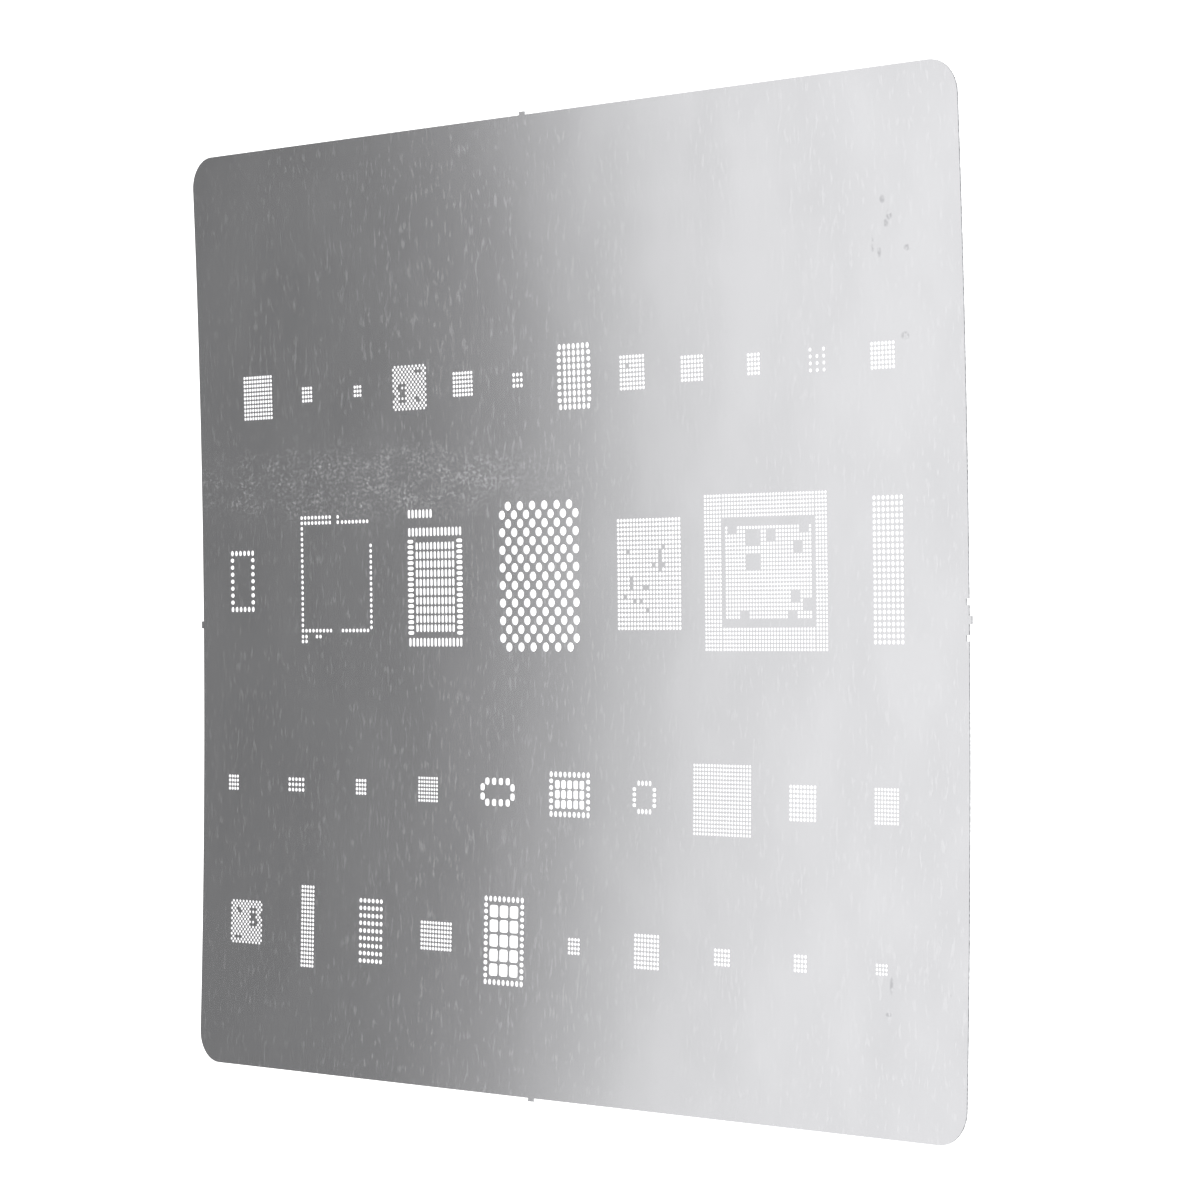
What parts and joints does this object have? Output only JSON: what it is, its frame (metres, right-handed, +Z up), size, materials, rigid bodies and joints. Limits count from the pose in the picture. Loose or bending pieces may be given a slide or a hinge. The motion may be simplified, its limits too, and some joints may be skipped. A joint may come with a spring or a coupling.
{
  "type": "solder paste stencil",
  "caption": "Thin, slightly bowed steel sheet with rounded corners, cut through with rows of tiny ball and pad patterns for placing solder on chips.",
  "frame": {"origin": "on the surface that the sheet lies on, under the middle of its outline, where the bowed sheet touches", "axes": "+X across the sheet's width, +Y towards its top edge, +Z up out of the face that the paste is spread on"},
  "size_m": [0.1002, 0.09, 0.0011],
  "materials": {
    "stainless_sheet": "cold-rolled stainless steel, bright satin, with fine scratches along its depth and a few smudges"
  },
  "bodies": {
    "root": {"stencil_sheet": "stainless_sheet"}
  },
  "joints": []
}
